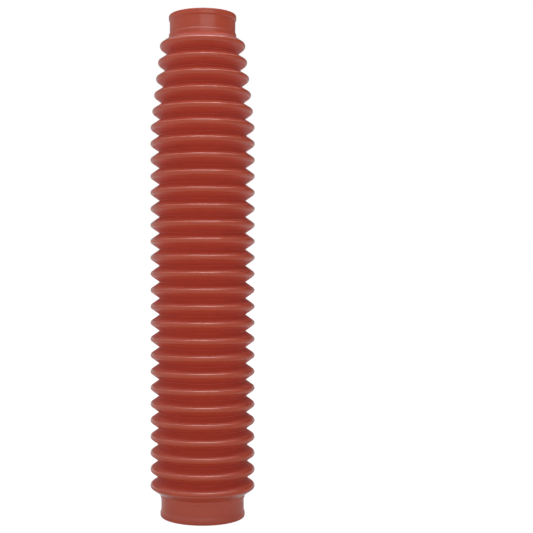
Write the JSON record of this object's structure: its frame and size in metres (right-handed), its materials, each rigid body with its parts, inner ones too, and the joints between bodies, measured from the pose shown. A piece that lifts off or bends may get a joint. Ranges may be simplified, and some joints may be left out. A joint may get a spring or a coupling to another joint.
{
  "type": "fork gaiter",
  "caption": "Long rubber fork gaiter: even bellows folds that narrow towards one end, between a wide plain collar and a narrow plain collar, open right through.",
  "frame": {"origin": "centre of the lower rim, at the gaiter's base, where it stands on its wide collar", "axes": "+Z along the bore, from the wide collar up to the narrow one; turned evenly about +Z, so X and Y are alike"},
  "size_m": [0.0816, 0.0816, 0.3917],
  "materials": {
    "red_rubber": "satin"
  },
  "bodies": {
    "root": {"gaiter": "red_rubber"}
  },
  "joints": []
}
